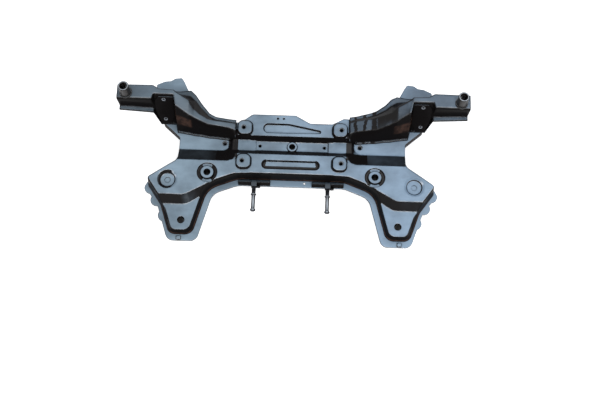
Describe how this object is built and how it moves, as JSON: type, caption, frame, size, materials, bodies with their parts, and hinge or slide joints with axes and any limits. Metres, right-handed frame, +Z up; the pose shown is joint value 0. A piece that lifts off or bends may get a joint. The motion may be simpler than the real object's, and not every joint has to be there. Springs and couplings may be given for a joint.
{
  "type": "front suspension subframe",
  "caption": "Welded pressed-steel front subframe: ribbed deck with a rack valley, rear lobes, raised horns with mount tubes and hanger rods.",
  "frame": {"origin": "floor level under the middle of the subframe's box", "axes": "+X to the right of the vehicle, +Y to its front, +Z up"},
  "size_m": [0.932, 0.4377, 0.192],
  "materials": {
    "pressed_panel": "gloss black coat over pressed steel",
    "bracket": "gloss black coat",
    "mount_tube": "black coat, worn thin on the rim",
    "collar": "black coat with a pale sheen on the faces",
    "hanger_rod": "dark coated steel rod",
    "weld_nut": "black coat"
  },
  "bodies": {
    "root": {"upper_panel": "pressed_panel", "lower_panel": "pressed_panel", "left_horn_upper": "pressed_panel", "right_horn_upper": "pressed_panel", "left_horn_lower": "pressed_panel", "right_horn_lower": "pressed_panel", "left_gusset_plate": "bracket", "right_gusset_plate": "bracket", "left_hanger_bracket": "bracket", "right_hanger_bracket": "bracket", "left_front_mount_tube": "mount_tube", "right_front_mount_tube": "mount_tube", "left_tube_seat_ring": "mount_tube", "right_tube_seat_ring": "mount_tube", "left_arm_collar": "collar", "right_arm_collar": "collar", "left_pivot_sleeve": "collar", "right_pivot_sleeve": "collar", "left_rear_mount_sleeve": "collar", "right_rear_mount_sleeve": "collar", "centre_collar": "collar", "left_hanger_rod": "hanger_rod", "right_hanger_rod": "hanger_rod", "steering_gear_nuts": "weld_nut", "wing_valley_nuts": "weld_nut"}
  },
  "joints": []
}
